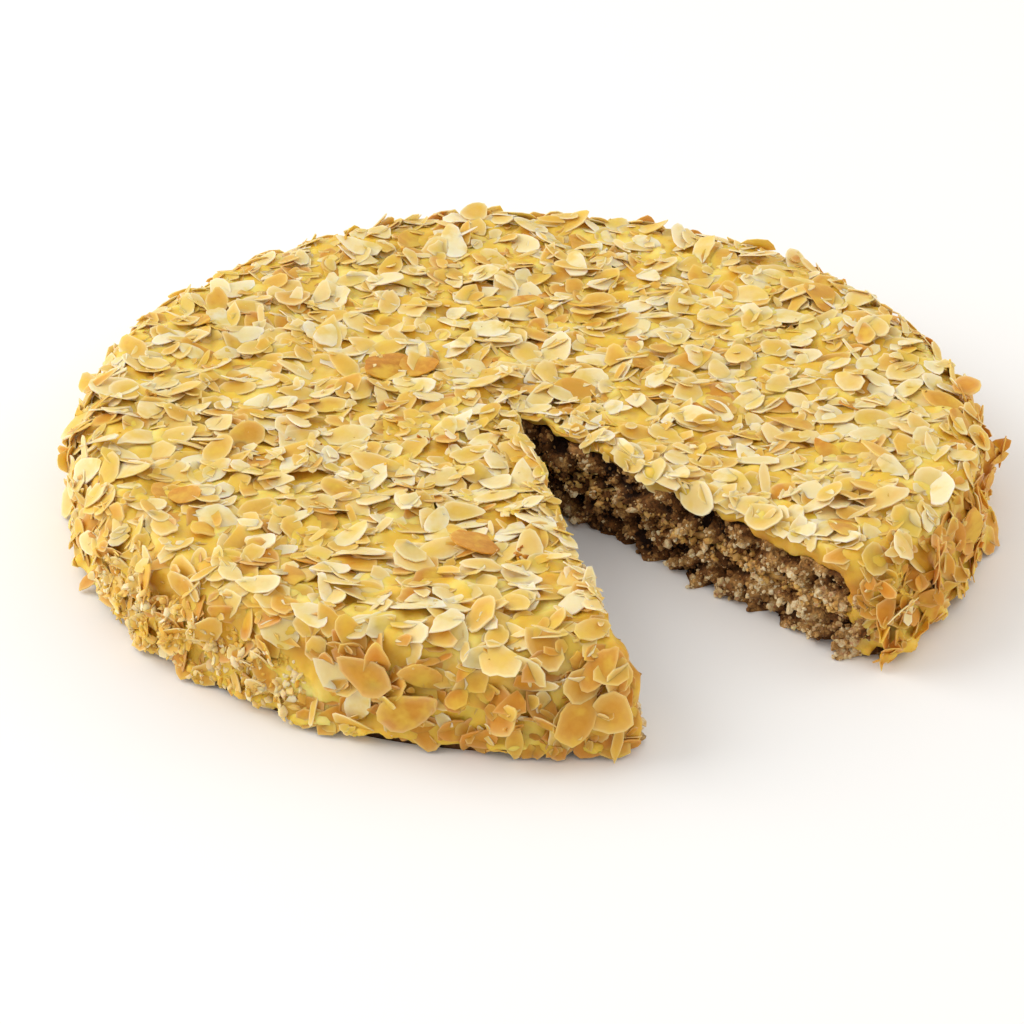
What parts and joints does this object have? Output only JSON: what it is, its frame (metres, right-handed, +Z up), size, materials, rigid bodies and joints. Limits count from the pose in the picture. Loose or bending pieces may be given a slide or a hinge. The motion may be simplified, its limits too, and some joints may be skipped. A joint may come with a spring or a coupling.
{
  "type": "almond cake",
  "caption": "Low round almond cake with a slice cut out: nut macaroon layers and a filling under yellow cream, covered all over in flaked almonds.",
  "frame": {"origin": "middle of the cake's base, on the surface that it stands on", "axes": "+Z up; the missing slice opens towards -Y and +X"},
  "size_m": [0.2165, 0.2153, 0.0295],
  "materials": {
    "macaroon": "crumbly baked nut macaroon, matte brown",
    "filling": "golden cream filling, soft satin",
    "cream_and_almonds": "glossy yellow cream set with matte flaked almonds"
  },
  "bodies": {
    "root": {"macaroon_lower": "macaroon", "macaroon_upper": "macaroon", "cream_filling": "filling", "cream_coat": "cream_and_almonds"}
  },
  "joints": []
}
